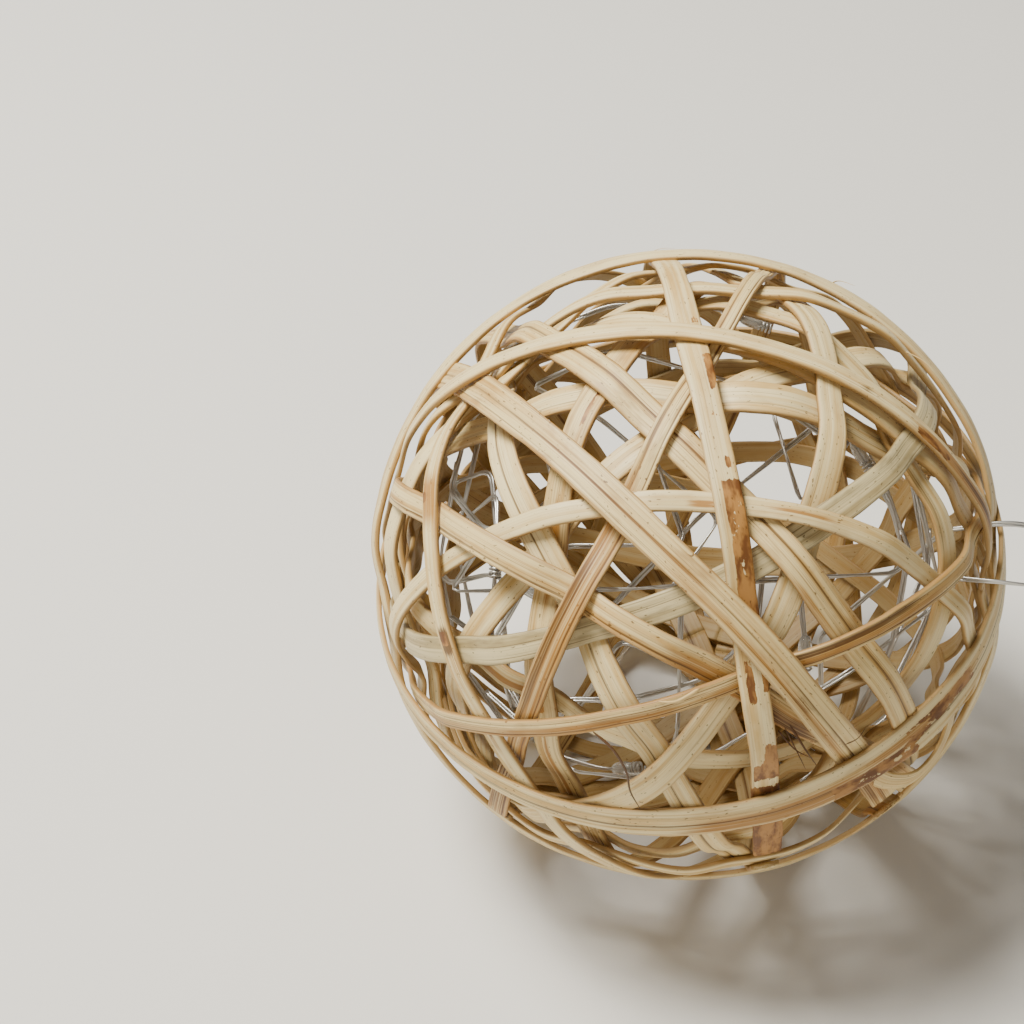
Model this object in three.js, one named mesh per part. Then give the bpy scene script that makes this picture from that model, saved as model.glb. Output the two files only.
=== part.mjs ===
// Light ball: an open ball wound from flat split-rattan strips, with a string of tiny lights
// tangled inside it. Millimetres, +Z up. The origin is where the ball stands: the middle of the
// small flat spot underneath.

import * as THREE from 'three';

// ---------- Driving dimensions ----------
const BALL_RADIUS = 55; // to the outer face of the outermost strips
const FLAT_SPOT_RADIUS = 15; // of the patch underneath that the ball stands on
const CENTRE_HEIGHT = Math.sqrt(BALL_RADIUS ** 2 - FLAT_SPOT_RADIUS ** 2);
const STRIP_THICKNESS = 0.7;
const STRIP_GAP = 0.35; // clearance between two strips that cross
const EDGE_MARGIN = 0.6; // how far beside a strip the clearance still holds
const STATIONS = 40; // cross sections round one hoop
const SAMPLES_PER_STEP = 6; // places tested between two neighbouring cross sections
const LINES_ACROSS = [-1, -0.5, 0, 0.5, 1]; // tested across a strip, in half widths
const STEEPEST_STEP = 2; // how far a strip can climb or dip from one station to the next
const SHARPEST_BULGE = 1; // how far a station can stand out from between its neighbours
const SETTLING_PASSES = 80;
const WIRE_DIAMETER = 1; // two silvered wires twisted together
const WIRE_SIDES = 8;
const STRING_STEPS = 80;
const LOOP_STEPS = 24;

// ---------- Materials ----------
const rattan = (color) => new THREE.MeshStandardMaterial({ color, roughness: 0.6, metalness: 0 });
const TONES = {
  pale: rattan('#dccfa8'),
  honey: rattan('#cdb482'),
  bark: rattan('#b98a55'),
  grey: rattan('#c3b596'),
};
const SILVER_WIRE = new THREE.MeshStandardMaterial({
  color: '#c9c9c6',
  roughness: 0.3,
  metalness: 0.9,
});

const radians = THREE.MathUtils.degToRad;

/** Shift that brings a leaning strip across the lowest point, where the ball stands on it. */
const underThePole = (lean) => -BALL_RADIUS * Math.cos(radians(lean));

// ---------- The strips, outermost first ----------
// Each strip runs round the ball in one plane. turn and lean say where the plane's normal
// points: lean degrees down from +Z, then turn degrees about Z. shift is how far the plane
// stands off the ball's centre along that normal. over names strips higher in the list that
// this one still passes over, and endAt opens the strip for one station at that angle, where
// its two ends show.
const STRIPS = [
  { name: 'skirt_strip', turn: -145, lean: 12, shift: 2.5, width: 4.6, tone: 'pale' },
  { name: 'crown_strip', turn: -96, lean: 53, shift: 7, width: 4, tone: 'pale' },
  { name: 'upper_arc_strip', turn: 78, lean: 87.6, shift: underThePole(87.6), width: 3.5, tone: 'pale' },
  { name: 'long_diagonal_strip', turn: 37, lean: 62, shift: -7, width: 5.6, tone: 'honey', endAt: 193 },
  { name: 'bark_strip', turn: 6, lean: 83, shift: 4, width: 4.6, tone: 'bark', endAt: 202 },
  { name: 'dark_seam_strip', turn: 130, lean: 29, shift: -1, width: 3, tone: 'bark' },
  { name: 'knotted_strip', turn: -31, lean: 52, shift: -5.5, width: 3.4, tone: 'pale' },
  { name: 'ribbed_strip', turn: 155, lean: 77, shift: 9, width: 3.8, tone: 'bark', endAt: 328 },
  { name: 'left_diagonal_strip', turn: 50, lean: 50, shift: -14, width: 4.4, tone: 'honey' },
  {
    name: 'middle_arc_strip', turn: 86, lean: 78, shift: -22.5, width: 3.3, tone: 'pale',
    over: ['ribbed_strip'],
  },
  { name: 'crown_band_strip', turn: 88, lean: 91, shift: 10.5, width: 3.6, tone: 'pale' },
  {
    name: 'broad_diagonal_strip', turn: 37, lean: 67, shift: 2.5, width: 5.4, tone: 'honey',
    over: ['crown_band_strip'],
  },
  { name: 'grey_strip', turn: 142, lean: 31, shift: 17, width: 4.6, tone: 'grey' },
  { name: 'left_limb_strip', turn: -65, lean: 71, shift: -9, width: 3.4, tone: 'pale' },
  { name: 'base_band_strip', turn: -92, lean: 12, shift: -14, width: 3.4, tone: 'pale' },
  { name: 'base_cross_strip', turn: -45, lean: 50, shift: underThePole(50), width: 4.6, tone: 'honey' },
  { name: 'back_shoulder_strip', turn: -138, lean: 52, shift: underThePole(52), width: 4.4, tone: 'pale' },
  { name: 'right_upright_strip', turn: -169, lean: 52, shift: 17, width: 4.8, tone: 'pale' },
  { name: 'back_upright_strip', turn: 64, lean: 74, shift: 15, width: 4.2, tone: 'pale' },
  { name: 'light_strip', turn: 11, lean: 62, shift: -13, width: 5.2, tone: 'pale' },
  { name: 'lower_band_strip', turn: 155, lean: 9, shift: -13, width: 4.2, tone: 'honey' },
  { name: 'streaked_strip', turn: -33, lean: 76, shift: 4, width: 4.8, tone: 'honey' },
  { name: 'right_limb_strip', turn: -112, lean: 53, shift: 23, width: 4.8, tone: 'pale' },
  { name: 'broad_crown_strip', turn: 82, lean: 58, shift: 15.5, width: 5.4, tone: 'pale' },
  { name: 'inner_diagonal_strip', turn: 123, lean: 81, shift: -5, width: 4.6, tone: 'pale' },
  { name: 'inner_slanting_strip', turn: 41, lean: 21, shift: -8, width: 3.6, tone: 'pale' },
];

// ---------- Bend points of the light string, in order ----------
// The string lies against the inside of the strips and crosses the hollow from one bend to the
// next. Both of its ends meet the loop that stands out of the ball's right side.
const STRING_ROUTE = [
  [40, -18, 67], [40, -18, 60], [25, -33, 61], [2, -41, 49], [-9, -39, 41], [-20, -28, 30],
  [-31, -21, 44], [-33, -12, 70], [-34, -2, 77], [-41, 1, 71], [-35, -15, 73], [-41, -15, 61],
  [-13, -31, 77], [10, -31, 79], [32, -21, 71], [35, -18, 72], [31, -10, 80], [26, -3, 86],
  [16, -18, 83], [12, -1, 90], [20, -3, 88], [-1, -21, 83], [-16, -30, 70], [-21, -27, 72],
  [-23, -21, 77], [-3, -26, 82], [-8, -12, 90], [-14, 20, 85], [-27, 19, 78], [-14, 37, 56],
  [10, 34, 33], [-6, 17, 18], [-20, -34, 52], [-13, -33, 68], [-2, -36, 64], [22, -28, 44],
  [27, 7, 28], [43, -5.5, 66],
];
const LOOP_ROUTE = [
  [43.5, -5.6, 66.4], [52.5, -6.4, 68.6], [59, -7, 68], [65, -9.5, 67], [68, -14, 66.5],
  [65, -19, 67], [57, -22, 69], [48, -21.4, 69.5], [40.5, -18.2, 67.4],
];

// ---------- The ball's hoops ----------
const STEP_ANGLE = (2 * Math.PI) / STATIONS;

/** A strip with its plane's axes, and the latitude its middle line keeps off that plane. */
function layOut(strip) {
  const turn = radians(strip.turn);
  const lean = radians(strip.lean);
  const level = Math.sin(lean);
  const normal = new THREE.Vector3(level * Math.cos(turn), level * Math.sin(turn), Math.cos(lean));
  const along = new THREE.Vector3(-Math.sin(turn), Math.cos(turn), 0);
  const upward = new THREE.Vector3().crossVectors(normal, along);
  return { ...strip, normal, along, upward, latitude: Math.asin(strip.shift / BALL_RADIUS) };
}

/** Unit vector from the ball's centre at an angle round the hoop and a latitude off its plane. */
function direction(hoop, angle, latitude) {
  return new THREE.Vector3()
    .addScaledVector(hoop.along, Math.cos(angle) * Math.cos(latitude))
    .addScaledVector(hoop.upward, Math.sin(angle) * Math.cos(latitude))
    .addScaledVector(hoop.normal, Math.sin(latitude));
}

/** The farthest out that a strip's outer face can be at a station, on the ball and the floor. */
function outerLimit(hoop, angle) {
  const outward = direction(hoop, angle, hoop.latitude);
  const sideways = direction(hoop, angle, hoop.latitude + Math.PI / 2);
  if (outward.z >= 0) return BALL_RADIUS;
  const edgeDrop = (Math.abs(sideways.z) * hoop.width) / 2;
  return Math.min(BALL_RADIUS, (CENTRE_HEIGHT - edgeDrop) / -outward.z);
}

/** Distance from the centre of a flat facet, part of the way between two of its stations. */
function facetRadius(from, to, part) {
  const reach = from * Math.sin(part * STEP_ANGLE) + to * Math.sin((1 - part) * STEP_ANGLE);
  return (from * to * Math.sin(STEP_ANGLE)) / reach;
}

/** Outer-face radius of a hoop at any angle round it. */
function radiusAt(hoop, angle) {
  const place = THREE.MathUtils.euclideanModulo(angle / STEP_ANGLE, STATIONS);
  const station = Math.floor(place) % STATIONS;
  const next = (station + 1) % STATIONS;
  return facetRadius(hoop.radii[station], hoop.radii[next], place - Math.floor(place));
}

/** Every place where the strip `under` runs beneath the strip `over`. */
function crossings(over, under) {
  const places = [];
  const reach = (over.width / 2 + EDGE_MARGIN) / BALL_RADIUS;
  const halfWidth = under.width / 2 / BALL_RADIUS;
  for (let sample = 0; sample < STATIONS * SAMPLES_PER_STEP; sample += 1) {
    const angle = (sample / SAMPLES_PER_STEP) * STEP_ANGLE;
    for (const side of LINES_ACROSS) {
      const point = direction(under, angle, under.latitude + side * halfWidth);
      const overAngle = Math.atan2(point.dot(over.upward), point.dot(over.along));
      if (Math.abs(Math.asin(point.dot(over.normal)) - over.latitude) < reach) {
        const station = Math.floor(sample / SAMPLES_PER_STEP);
        places.push({ station, part: (sample % SAMPLES_PER_STEP) / SAMPLES_PER_STEP, overAngle });
      }
    }
  }
  return { over, under, places };
}

/** Presses the lower strip of a crossing in until it clears the upper one. */
function pressUnder({ over, under, places }) {
  for (const { station, part, overAngle } of places) {
    const next = (station + 1) % STATIONS;
    const highest = radiusAt(over, overAngle) - STRIP_THICKNESS - STRIP_GAP;
    const excess = facetRadius(under.radii[station], under.radii[next], part) - highest;
    if (excess > 0) {
      under.radii[station] -= excess * (1 - part);
      under.radii[next] -= excess * part;
    }
  }
}

/** Keeps a strip from climbing or bulging more than stiff cane can. */
function straighten(hoop) {
  const { radii } = hoop;
  const relax = (station) => {
    const before = radii[(station + STATIONS - 1) % STATIONS];
    const after = radii[(station + 1) % STATIONS];
    const slopeLimit = Math.min(before, after) + STEEPEST_STEP;
    const bulgeLimit = (before + after) / 2 + SHARPEST_BULGE;
    radii[station] = Math.min(radii[station], slopeLimit, bulgeLimit);
  };
  for (let station = 0; station < STATIONS; station += 1) relax(station);
  for (let station = STATIONS - 1; station >= 0; station -= 1) relax(station);
}

/** Winds the strips over one another: each lies as far out as the strips above it let it. */
function wind(strips) {
  const hoops = strips.map(layOut);
  for (const hoop of hoops) {
    hoop.radii = Array.from({ length: STATIONS }, (_, i) => outerLimit(hoop, i * STEP_ANGLE));
  }
  const pairs = [];
  hoops.forEach((lower, rank) => {
    for (const upper of hoops.slice(0, rank)) {
      const swapped = (lower.over ?? []).includes(upper.name);
      pairs.push(swapped ? crossings(lower, upper) : crossings(upper, lower));
    }
  });
  for (let pass = 0; pass < SETTLING_PASSES; pass += 1) {
    pairs.forEach(pressUnder);
    hoops.forEach(straighten);
  }
  return hoops;
}

/** The four corners of a strip's cross section: outer face first, then inner face. */
function sectionCorners(hoop, angle) {
  const outward = direction(hoop, angle, hoop.latitude);
  const sideways = direction(hoop, angle, hoop.latitude + Math.PI / 2);
  const radius = radiusAt(hoop, angle);
  const corner = (depth, side) =>
    new THREE.Vector3(0, 0, CENTRE_HEIGHT)
      .addScaledVector(outward, radius - depth)
      .addScaledVector(sideways, (side * hoop.width) / 2);
  return [
    corner(0, -1),
    corner(0, 1),
    corner(STRIP_THICKNESS, 1),
    corner(STRIP_THICKNESS, -1),
  ];
}

/** Angles of the cross sections once round, starting just past an open strip's gap. */
function stationAngles(hoop) {
  const first = Math.ceil(radians(hoop.endAt ?? 0) / STEP_ANGLE);
  return Array.from({ length: STATIONS }, (_, i) => (first + i) * STEP_ANGLE);
}

/** Joins the cross sections into one closed band, with flat ends where the strip is open. */
function bandGeometry(hoop) {
  const sections = stationAngles(hoop).map((angle) => sectionCorners(hoop, angle));
  const isOpen = hoop.endAt !== undefined;
  const positions = sections.flat().flatMap((corner) => corner.toArray());
  const indices = [];
  const corners = sections[0].length;
  const lastJoin = isOpen ? sections.length - 1 : sections.length;
  for (let i = 0; i < lastJoin; i += 1) {
    const here = i * corners;
    const there = ((i + 1) % sections.length) * corners;
    for (let c = 0; c < corners; c += 1) {
      const d = (c + 1) % corners;
      indices.push(here + c, there + d, here + d, here + c, there + c, there + d);
    }
  }
  if (isOpen) {
    const end = (sections.length - 1) * corners;
    indices.push(0, 1, 2, 0, 2, 3);
    indices.push(end, end + 2, end + 1, end, end + 3, end + 2);
  }
  const geometry = new THREE.BufferGeometry();
  geometry.setAttribute('position', new THREE.Float32BufferAttribute(positions, 3));
  geometry.setIndex(indices);
  geometry.computeVertexNormals();
  return geometry;
}

// ---------- The light string ----------
/** A thin wire along a smooth line through its bend points. */
function wireGeometry(route, steps) {
  const section = new THREE.Shape();
  section.absarc(0, 0, WIRE_DIAMETER / 2, 0, 2 * Math.PI);
  const points = route.map(([x, y, z]) => new THREE.Vector3(x, y, z));
  return new THREE.ExtrudeGeometry(section, {
    extrudePath: new THREE.CatmullRomCurve3(points),
    steps,
    curveSegments: WIRE_SIDES / 2,
  });
}

/** Names a piece and puts it in the ball. */
function addPiece(name, geometry, material) {
  const mesh = new THREE.Mesh(geometry, material);
  mesh.name = name;
  group.add(mesh);
}

// ---------- The whole ball ----------
const group = new THREE.Group();
for (const hoop of wind(STRIPS)) addPiece(hoop.name, bandGeometry(hoop), TONES[hoop.tone]);
addPiece('light_string', wireGeometry(STRING_ROUTE, STRING_STEPS), SILVER_WIRE);
addPiece('light_string_loop', wireGeometry(LOOP_ROUTE, LOOP_STEPS), SILVER_WIRE);

export default group;
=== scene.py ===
"""Rattan light ball: the looks of its wound cane strips, its light string and the studio."""

from __future__ import annotations

import logging
import math
from dataclasses import dataclass, field
from enum import Enum

import bpy
import numpy as np
from mathutils import Matrix


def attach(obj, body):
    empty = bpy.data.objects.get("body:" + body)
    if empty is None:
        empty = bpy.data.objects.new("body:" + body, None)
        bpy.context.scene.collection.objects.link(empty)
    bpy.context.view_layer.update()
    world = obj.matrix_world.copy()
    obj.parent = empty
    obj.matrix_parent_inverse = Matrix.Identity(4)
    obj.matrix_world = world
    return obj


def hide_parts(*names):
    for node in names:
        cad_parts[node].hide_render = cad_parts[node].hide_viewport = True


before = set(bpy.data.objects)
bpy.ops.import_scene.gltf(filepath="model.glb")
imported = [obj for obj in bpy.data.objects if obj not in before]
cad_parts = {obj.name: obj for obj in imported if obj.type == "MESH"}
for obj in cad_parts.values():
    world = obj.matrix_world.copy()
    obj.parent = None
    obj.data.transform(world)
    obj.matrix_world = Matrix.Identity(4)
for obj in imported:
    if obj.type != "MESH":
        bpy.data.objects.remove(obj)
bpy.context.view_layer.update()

LOG = logging.getLogger("rattan_light_ball")
MM = 0.001
Object = bpy.types.Object
Material = bpy.types.Material
Tree = bpy.types.NodeTree
Socket = bpy.types.NodeSocket
Faces = list[tuple[int, ...]]
Skin = tuple[np.ndarray, Faces]

# The ball stands on its flat spot at the origin, so its centre is half its full height up.
BALL_RADIUS = 55 * MM
FLAT_SPOT_RADIUS = 15 * MM
STATION_GAP = 9.0  # degrees between a plain band's cross sections
NEARLY_UPRIGHT = 0.1  # sine of a line's angle from upright
BALL_CENTRE = np.array([0.0, 0.0, math.sqrt(BALL_RADIUS**2 - FLAT_SPOT_RADIUS**2)])


# ---- colours and nodes


def linear(hex_colour: str) -> tuple[float, float, float, float]:
    """Turns an sRGB hex colour into the linear colour that shaders take.

    Args:
        hex_colour: colour as "#RRGGBB".

    Returns:
        Linear red, green, blue and an alpha of 1.
    """
    channels = [int(hex_colour[i : i + 2], 16) / 255 for i in (1, 3, 5)]
    decoded = [c / 12.92 if c <= 0.04045 else ((c + 0.055) / 1.055) ** 2.4 for c in channels]
    return (decoded[0], decoded[1], decoded[2], 1.0)


def add_node(
    tree: Tree, kind: str, settings: dict[str, object] | None = None, **inputs: object,
) -> bpy.types.Node:
    """Adds one shader node with its settings, values and links.

    Args:
        tree: node tree that the node joins.
        kind: Blender's name of the node type.
        settings: properties set on the node itself.
        inputs: socket name or "i" and its index, to a value or to the output that feeds it.

    Returns:
        The new node.
    """
    node = tree.nodes.new(kind)
    for name, value in (settings or {}).items():
        setattr(node, name, value)
    for name, value in inputs.items():
        is_index = name[0] == "i" and name[1:].isdigit()
        socket = node.inputs[int(name[1:])] if is_index else node.inputs[name.replace("_", " ")]
        if isinstance(value, Socket):
            tree.links.new(value, socket)
        else:
            socket.default_value = value
    return node


def start_material(name: str) -> tuple[Material, Tree, bpy.types.Node]:
    """Makes an empty node material with its output.

    Args:
        name: name of the material.

    Returns:
        The material, its node tree and its output node.
    """
    material = bpy.data.materials.new(name)
    material.use_nodes = True
    tree = material.node_tree
    tree.nodes.clear()
    return material, tree, tree.nodes.new("ShaderNodeOutputMaterial")


# ---- finishes


@dataclass(frozen=True)
class SplitRattan:
    """Cane core split into flat strips and left raw.

    The split face is dry and satiny. Its fibres show as fine long lines, the pith leaves pale
    and tan bands, and where the outer bark stays on it shows as hard-edged brown patches.
    """

    name: str
    pale: str
    tan: str
    fibre: str
    stain: str
    streaks: float
    # Painted shade: the inner face is coloured this darker brown, as if in shadow.
    inside: str = "#8A6632"
    # Reddish rust; where a rust mark runs along a strip's side from its edge at -1, this colour is
    # painted shade of that side.
    rust_and_shade: str = "#A56C1B"
    bark_light: str = "#B27F40"
    bark_dark: str = "#6E4218"
    roughness: float = 0.38
    ior: float = 1.5

    # Noise cells per millimetre across the strip and along it, then octaves. Cane's own hairlines
    # are too fine to show in the render, so these are drawn as coarse as they need to be.
    FIBRES = (4.6, 0.035, 3.0)
    FINE_LINES = (9.0, 0.09, 2.0)
    BANDS = (0.75, 0.012, 2.0)
    MOTTLE = (0.4, 0.11, 3.0)
    SPECKS = (2.4, 1.1, 1.0)
    PATCHES = (0.8, 0.34, 4.0)
    BARK_TONE = (0.55, 0.25, 3.0)

    # How deep each pattern cuts, as shares of the deepest relief.
    RELIEF_DEPTH = 0.12 * MM
    RELIEF_STRENGTH = 0.36
    FIBRE_RELIEF, LINE_RELIEF, BAND_RELIEF, BARK_RELIEF = 0.7, 0.35, 0.9, 0.8
    FIBRE_BREAK = 0.9
    FIBRE_ROUGHENING = 0.25

    def _grain(
        self, tree: Tree, pattern: tuple[float, float, float]
    ) -> Socket:
        """Noise drawn out along the strip.

        Args:
            tree: node tree to add to.
            pattern: noise cells per millimetre across and along the strip, and octaves.

        Returns:
            The noise's output socket.
        """
        across, along, octaves = pattern
        place = add_node(tree, "ShaderNodeAttribute", {"attribute_name": "grain"})
        stretched = add_node(
            tree, "ShaderNodeVectorMath", {"operation": "MULTIPLY"}, i0=place.outputs["Vector"],
            i1=(along, across, 1.0),
        )
        noise = add_node(
            tree, "ShaderNodeTexNoise", Vector=stretched.outputs[0], Scale=1.0, Detail=octaves,
            Roughness=0.6,
        )
        return noise.outputs["Fac"]

    def _weighted(
        self, tree: Tree, parts: list[tuple[Socket, float]], start: Socket | float = 0.0,
    ) -> Socket | float:
        """Sums patterns, each with its own weight.

        Args:
            tree: node tree to add to.
            parts: patterns and their weights.
            start: what the sum starts from.

        Returns:
            The sum's socket.
        """
        for pattern, weight in parts:
            step = {"operation": "MULTIPLY_ADD"}
            start = add_node(tree, "ShaderNodeMath", step, i0=pattern, i1=weight, i2=start).outputs[0]
        return start

    def _layers(
        self, tree: Tree, base: Socket | tuple[float, float, float, float],
        layers: list[tuple[Socket, float, float, float, str]], curve: str = "SMOOTHSTEP",
    ) -> Socket:
        """Lays colours over one another, each where its pattern is strong.

        Args:
            tree: node tree to add to.
            base: colour underneath, or its socket.
            layers: for each, its pattern, the values where it starts and is full, how much of
                it shows there, and its sRGB colour.
            curve: how the pattern rises from start to full.

        Returns:
            The finished colour's socket.
        """
        for pattern, starts, full, share, colour in layers:
            spread = add_node(
                tree, "ShaderNodeMapRange", {"interpolation_type": curve}, Value=pattern,
                From_Min=starts, From_Max=full, To_Max=share,
            )
            mix = add_node(
                tree, "ShaderNodeMix", {"data_type": "RGBA"}, i0=spread.outputs["Result"], i6=base,
                i7=linear(colour),
            )
            base = mix.outputs[2]
        return base

    def material(self) -> Material:
        """Builds the cane's material.

        Returns:
            The finished material.
        """
        material, tree, output = start_material(self.name)
        painted = []
        for layer in ("marks", "wear"):
            values = add_node(tree, "ShaderNodeAttribute", {"attribute_name": layer})
            split = add_node(tree, "ShaderNodeSeparateXYZ", Vector=values.outputs["Vector"])
            painted += list(split.outputs)
        bark_mark, stain_mark, rust_and_shade_mark, edge, inner_face_shade, _ = painted
        patterns = (self.FIBRES, self.FINE_LINES, self.BANDS, self.MOTTLE, self.SPECKS)
        fibres, fine_lines, bands, mottle, specks = (self._grain(tree, p) for p in patterns)
        bark_tone, patches = self._grain(tree, self.BARK_TONE), self._grain(tree, self.PATCHES)
        rusted_and_shaded = self._weighted(tree, [(fibres, self.FIBRE_BREAK)], rust_and_shade_mark)
        stained = self._weighted(tree, [(fibres, self.FIBRE_BREAK)], stain_mark)
        barked = self._weighted(tree, [(patches, 1.0)], bark_mark)

        dots = (specks, 0.69, 0.74, 0.75, self.stain)

        # Pale and tan bands of pith with darker fibres, fine lines and specks over them; then the
        # edges drawn darker, the inner face darkened as painted shade, and rust, in part painted
        # shade along the strips' sides, and stains broken up by the fibres.
        colour = self._layers(
            tree,
            linear(self.pale),
            [
                (bands, 0.4, 0.66, 1.0, self.tan), (mottle, 0.46, 0.7, 0.5, self.pale),
                (mottle, 0.5, 0.28, 0.75 * self.streaks, self.fibre),
                (fibres, 0.5, 0.7, self.streaks, self.fibre),
                (fibres, 0.64, 0.72, 0.6 * self.streaks, self.stain),
                (fine_lines, 0.55, 0.72, 0.35 * self.streaks, self.fibre), dots,
            ],
        )
        # The edges drawn darker, and painted shade over the whole inner face.
        darkened = [(edge, 0.0, 1.0, 0.75, self.fibre), (inner_face_shade, 0.0, 1.0, 0.62, self.inside)]
        colour = self._layers(tree, colour, darkened, "LINEAR")
        # Rust, in part painted shade along the strips' sides, and stains, broken up by the fibres.
        broken = [(rusted_and_shaded, 0.62, 1.1, 0.85, self.rust_and_shade), (stained, 0.72, 1.2, 0.9, self.stain)]
        colour = self._layers(tree, colour, broken)
        bark = self._layers(
            tree,
            linear(self.bark_light),
            [(bark_tone, 0.38, 0.64, 1.0, self.bark_dark), dots],
        )
        bark_share = add_node(
            tree, "ShaderNodeMapRange", {"interpolation_type": "SMOOTHSTEP"}, Value=barked,
            From_Min=1.02, From_Max=1.05,
        ).outputs["Result"]
        colour = add_node(
            tree, "ShaderNodeMix", {"data_type": "RGBA"}, i0=bark_share, i6=colour, i7=bark
        ).outputs[2]

        height = self._weighted(
            tree,
            [
                (fibres, self.FIBRE_RELIEF), (fine_lines, self.LINE_RELIEF),
                (bands, self.BAND_RELIEF), (bark_share, self.BARK_RELIEF),
            ],
        )
        relief = add_node(
            tree, "ShaderNodeBump", Height=height, Strength=self.RELIEF_STRENGTH,
            Distance=self.RELIEF_DEPTH,
        )
        shader = add_node(
            tree, "ShaderNodeBsdfPrincipled", Base_Color=colour,
            Roughness=self._weighted(tree, [(fibres, self.FIBRE_ROUGHENING)], self.roughness),
            Normal=relief.outputs["Normal"], IOR=self.ior,
        )
        tree.links.new(shader.outputs["BSDF"], output.inputs["Surface"])
        return material


class Cane(Enum):
    """The looks that the split cane has on this ball."""

    # Fresh core, cut clear of the bark.
    PALE = SplitRattan(
        "split_rattan_pale", pale="#F0DCA6", tan="#D8B571", fibre="#A67B3F", stain="#5F3B08",
        streaks=0.4,
    )
    # Core nearer the bark, with more fibre.
    HONEY = SplitRattan(
        "split_rattan_honey", pale="#ECD396", tan="#C99F57", fibre="#956731", stain="#563308",
        streaks=0.65,
    )
    # Stringy outer cane, for splinters and frayed ends.
    BARK = SplitRattan(
        "split_rattan_barked", pale="#CFAA66", tan="#A5773A", fibre="#714820", stain="#43270D",
        streaks=0.85,
    )
    # Weathered core.
    GREY = SplitRattan(
        "split_rattan_greyed", pale="#D9C898", tan="#B7A272", fibre="#7E6A43", stain="#574526",
        streaks=0.75,
    )


@dataclass(frozen=True)
class SilveredWire:
    """Hard copper wire drawn thin and silver plated: bright, with sharp narrow highlights."""

    name: str = "silvered_copper_wire"
    colour: str = "#D6D5D0"
    roughness: float = 0.3
    DULLING = (-0.06, 0.16)
    DULL_SPOTS_PER_M = 900.0

    def material(self) -> Material:
        """Builds the wire's material.

        Returns:
            The finished material.
        """
        material, tree, output = start_material(self.name)
        place = add_node(tree, "ShaderNodeTexCoord")
        dulling = add_node(
            tree, "ShaderNodeTexNoise", Vector=place.outputs["Object"], Scale=self.DULL_SPOTS_PER_M,
            Detail=2.0,
        )
        rough = add_node(
            tree, "ShaderNodeMapRange", Value=dulling.outputs["Fac"],
            To_Min=self.roughness + self.DULLING[0], To_Max=self.roughness + self.DULLING[1],
        )
        shader = add_node(
            tree, "ShaderNodeBsdfPrincipled", Base_Color=linear(self.colour), Metallic=1.0,
            Roughness=rough.outputs["Result"],
        )
        tree.links.new(shader.outputs["BSDF"], output.inputs["Surface"])
        return material


@dataclass(frozen=True)
class ResinBead:
    """Clear epoxy dripped over a light chip: a glossy, slightly cloudy drop."""

    name: str = "clear_epoxy_drop"
    colour: str = "#F3F1E6"
    roughness: float = 0.08

    def material(self) -> Material:
        """Builds the resin's material.

        Returns:
            The finished material.
        """
        material, tree, output = start_material(self.name)
        place = add_node(tree, "ShaderNodeTexCoord")
        cloud = add_node(tree, "ShaderNodeTexNoise", Vector=place.outputs["Object"], Scale=700.0)
        tint = add_node(
            tree, "ShaderNodeMix", {"data_type": "RGBA"}, i0=cloud.outputs["Fac"],
            i6=linear(self.colour), i7=linear("#FFFFFF"),
        )
        shader = add_node(
            tree, "ShaderNodeBsdfPrincipled", Base_Color=tint.outputs[2], Roughness=self.roughness,
            IOR=1.55,
        )
        shader.inputs["Transmission Weight"].default_value = 0.75
        tree.links.new(shader.outputs["BSDF"], output.inputs["Surface"])
        return material


@dataclass(frozen=True)
class MatteFloor:
    """Seamless studio paper, rolled out flat: pale, even and without shine."""

    name: str = "studio_paper"
    colour: str = "#E9E7E2"

    def material(self) -> Material:
        """Builds the paper's material.

        Returns:
            The finished material.
        """
        material, tree, output = start_material(self.name)
        shader = add_node(
            tree, "ShaderNodeBsdfPrincipled", Base_Color=linear(self.colour), Roughness=0.9
        )
        tree.links.new(shader.outputs["BSDF"], output.inputs["Surface"])
        return material


# ---- shared mesh work


def make_piece(
    name: str, vertices: np.ndarray, faces: Faces, attributes: dict[str, np.ndarray] | None = None,
) -> Object:
    """Makes a smooth mesh object that rides on the ball.

    Args:
        name: name of the piece.
        vertices: vertex places in metres.
        faces: vertex numbers of each face.
        attributes: per-vertex vectors that the material reads, by name.

    Returns:
        The new object.
    """
    mesh = bpy.data.meshes.new(name)
    mesh.from_pydata(vertices.tolist(), [], faces)
    for label, values in (attributes or {}).items():
        layer = mesh.attributes.new(label, "FLOAT_VECTOR", "POINT")
        layer.data.foreach_set("vector", np.asarray(values, np.float32).ravel())
    mesh.validate()
    mesh.shade_smooth()
    piece = bpy.data.objects.new(name, mesh)
    bpy.context.scene.collection.objects.link(piece)
    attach(piece, "root")
    return piece


def smooth_line(points: np.ndarray, closed: bool, step: float) -> np.ndarray:
    """Draws a smooth line through points, evenly sampled.

    Args:
        points: rows of values to pass through; the first three columns are places in metres.
        closed: whether the line runs back to its start.
        step: distance between samples in metres.

    Returns:
        The sampled rows; a closed line ends on its first row again.
    """
    if closed:
        padded = np.vstack([points[-1:], points, points[:2]])
    else:
        padded = np.vstack([2 * points[0] - points[1], points, 2 * points[-1] - points[-2]])
    rows = []
    for before, start, end, after in zip(padded, padded[1:], padded[2:], padded[3:]):
        samples = max(2, int(np.linalg.norm((end - start)[:3]) / step))
        for t in np.arange(samples) / samples:
            bend = (2 * before - 5 * start + 4 * end - after) * t**2
            turn = (3 * start - before - 3 * end + after) * t**3
            rows.append(start + 0.5 * ((end - before) * t + bend + turn))
    rows.append(padded[-2])
    return np.array(rows)


def unit(vectors: np.ndarray) -> np.ndarray:
    """Scales each row to length one."""
    return vectors / np.linalg.norm(vectors, axis=-1, keepdims=True)


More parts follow.
